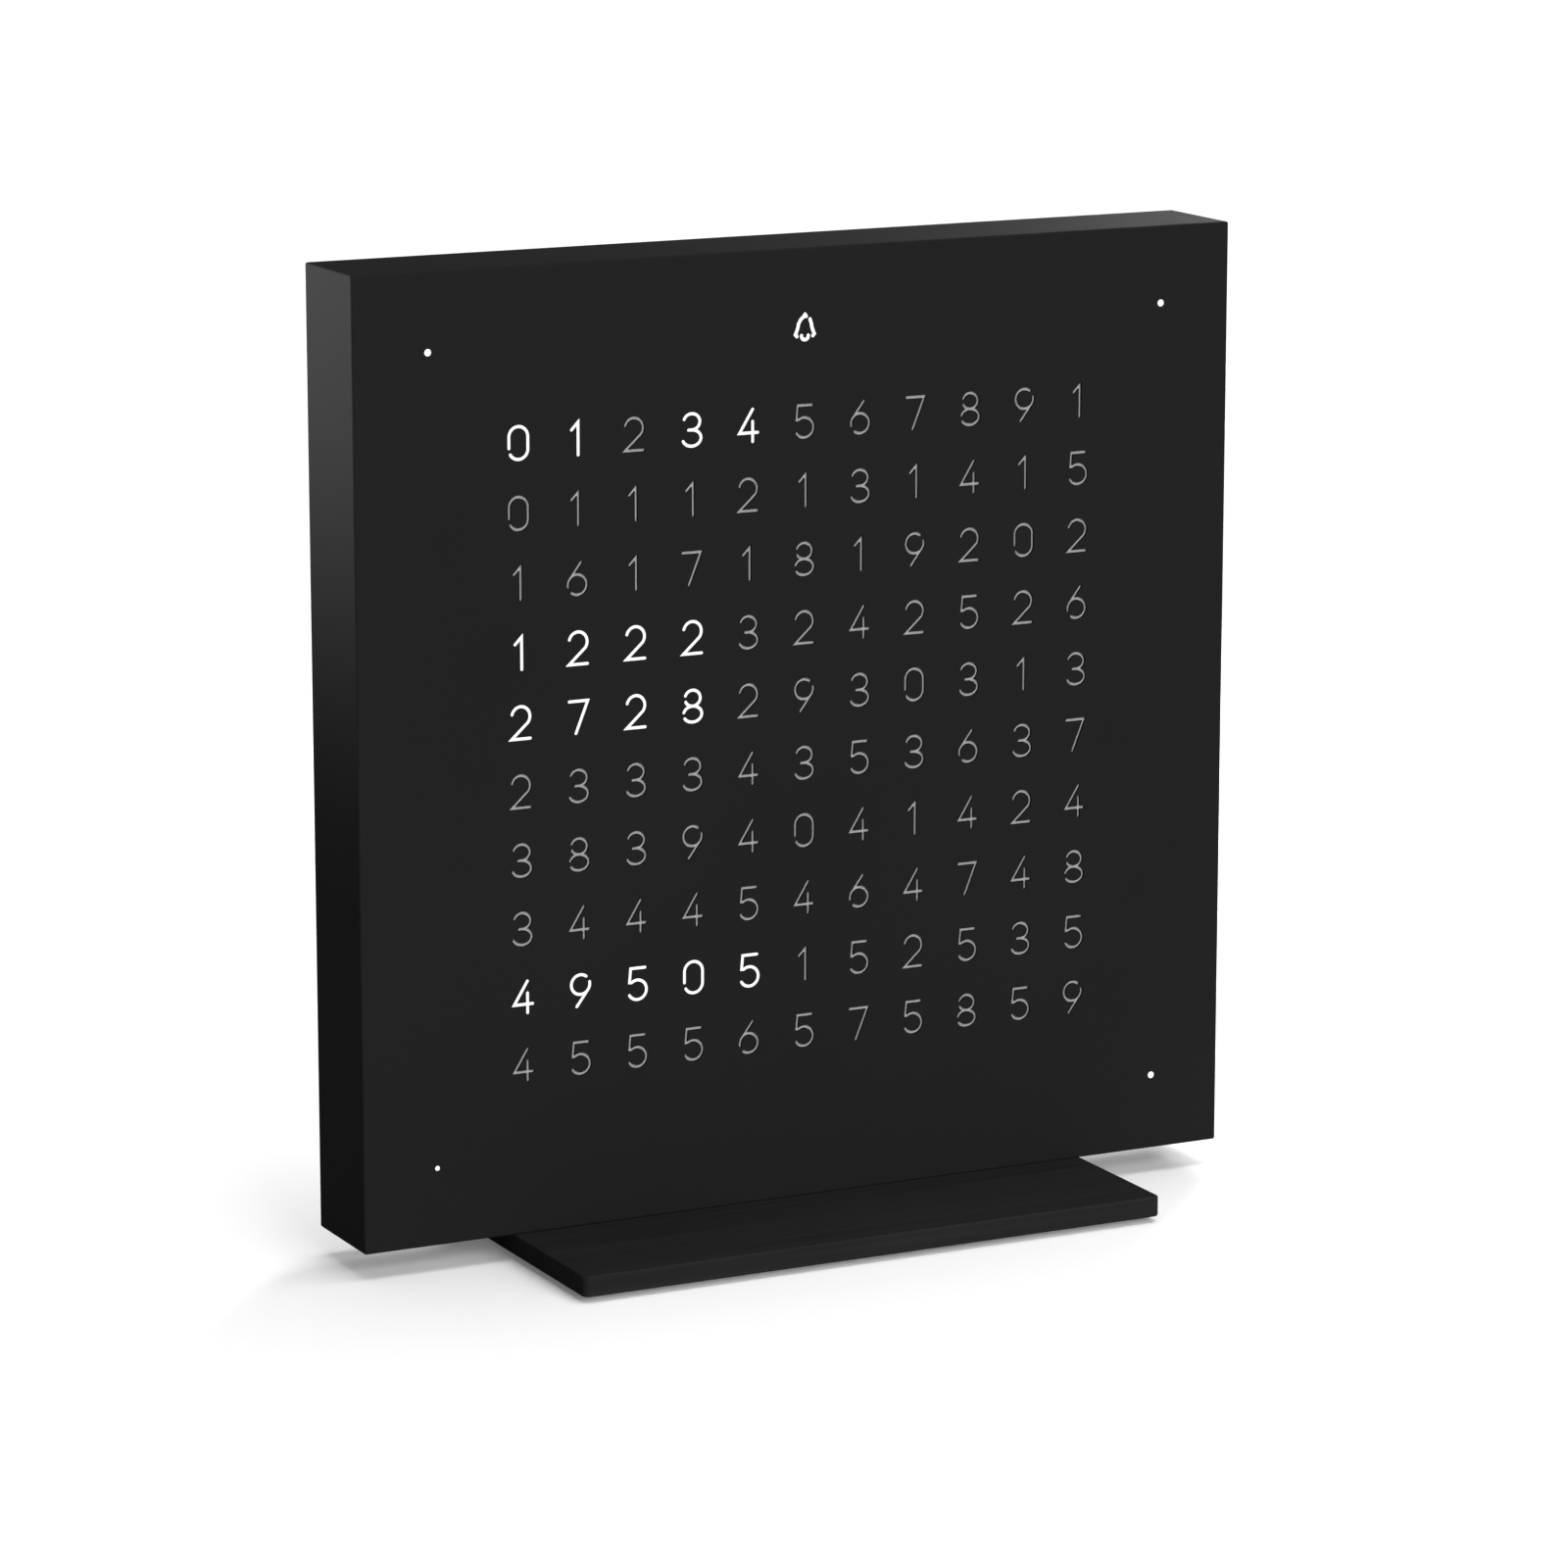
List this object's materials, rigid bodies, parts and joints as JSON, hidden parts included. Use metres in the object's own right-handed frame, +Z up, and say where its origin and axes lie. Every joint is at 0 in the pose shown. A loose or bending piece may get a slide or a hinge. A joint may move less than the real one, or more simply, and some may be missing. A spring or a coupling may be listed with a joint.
{
  "type": "word clock",
  "caption": "Square table clock with numerals cut through a black steel face and lit from behind, on a flat stand plate, with push buttons and a power inlet on its back.",
  "frame": {"origin": "on the table, under the middle of the stand plate and pads", "axes": "+X to the right seen from the front, +Y towards the back, +Z up"},
  "size_m": [0.135, 0.062, 0.1388],
  "materials": {
    "black_steel": "fine matt powder coat",
    "bright_steel": "zinc plated",
    "opal_plastic": "opal sheet",
    "white_plastic": "moulded, matt",
    "board_laminate": "solder mask",
    "diode_body": "moulded",
    "chip_resin": "moulded resin",
    "ceramic": "fired",
    "bare_aluminium": "drawn",
    "gilt_contact": "plated spring sheet",
    "brass_pillar": "turned",
    "switch_plastic": "moulded",
    "black_plastic": "spark-eroded texture",
    "button_plastic": "satin",
    "black_screw": "black oxide",
    "pad_rubber": "matt",
    "lit_inlay": "opal, lit from behind",
    "unlit_inlay": "opal, unlit"
  },
  "bodies": {
    "clock": {"front_shell": "black_steel", "weld_studs": "bright_steel", "diffuser_sheet": "opal_plastic", "light_grid": "white_plastic", "display_board": "board_laminate", "leds": "diode_body", "light_sensor": "chip_resin", "led_drivers": "chip_resin", "microcontroller": "chip_resin", "clock_crystal": "bright_steel", "chip_passives": "ceramic", "voltage_regulator": "chip_resin", "smoothing_capacitor": "bare_aluminium", "cell_clip": "gilt_contact", "backup_cell": "bright_steel", "alarm_sounder": "black_plastic", "power_inlet": "bright_steel", "inlet_tongue": "black_plastic", "touch_contact": "gilt_contact", "switch_housings": "black_plastic", "board_screws": "bright_steel", "pillars": "brass_pillar", "rear_cover": "black_plastic", "cover_screws": "black_screw", "mounting_bar": "bright_steel", "stand_plate": "black_steel", "stand_screws": "black_screw", "foot_pads": "pad_rubber"},
    "hour_key": {"hour_button": "button_plastic", "hour_plunger": "switch_plastic"},
    "minute_key": {"minute_button": "button_plastic", "minute_plunger": "switch_plastic"},
    "alarm_key": {"alarm_button": "button_plastic", "alarm_plunger": "switch_plastic"},
    "dimmer_key": {"dimmer_button": "button_plastic", "dimmer_plunger": "switch_plastic"}
  },
  "joints": [
    {"name": "hour_press", "type": "slide", "parent": "clock", "child": "hour_key", "axis": [0, -1, 0], "range_m": [0, 0.0005], "stiffness_N_per_m": 1500, "springref_m": -0.0003},
    {"name": "minute_press", "type": "slide", "parent": "clock", "child": "minute_key", "axis": [0, -1, 0], "range_m": [0, 0.0005], "stiffness_N_per_m": 1500, "springref_m": -0.0003},
    {"name": "alarm_press", "type": "slide", "parent": "clock", "child": "alarm_key", "axis": [0, -1, 0], "range_m": [0, 0.0005], "stiffness_N_per_m": 1500, "springref_m": -0.0003},
    {"name": "dimmer_press", "type": "slide", "parent": "clock", "child": "dimmer_key", "axis": [0, -1, 0], "range_m": [0, 0.0005], "stiffness_N_per_m": 1500, "springref_m": -0.0003}
  ]
}
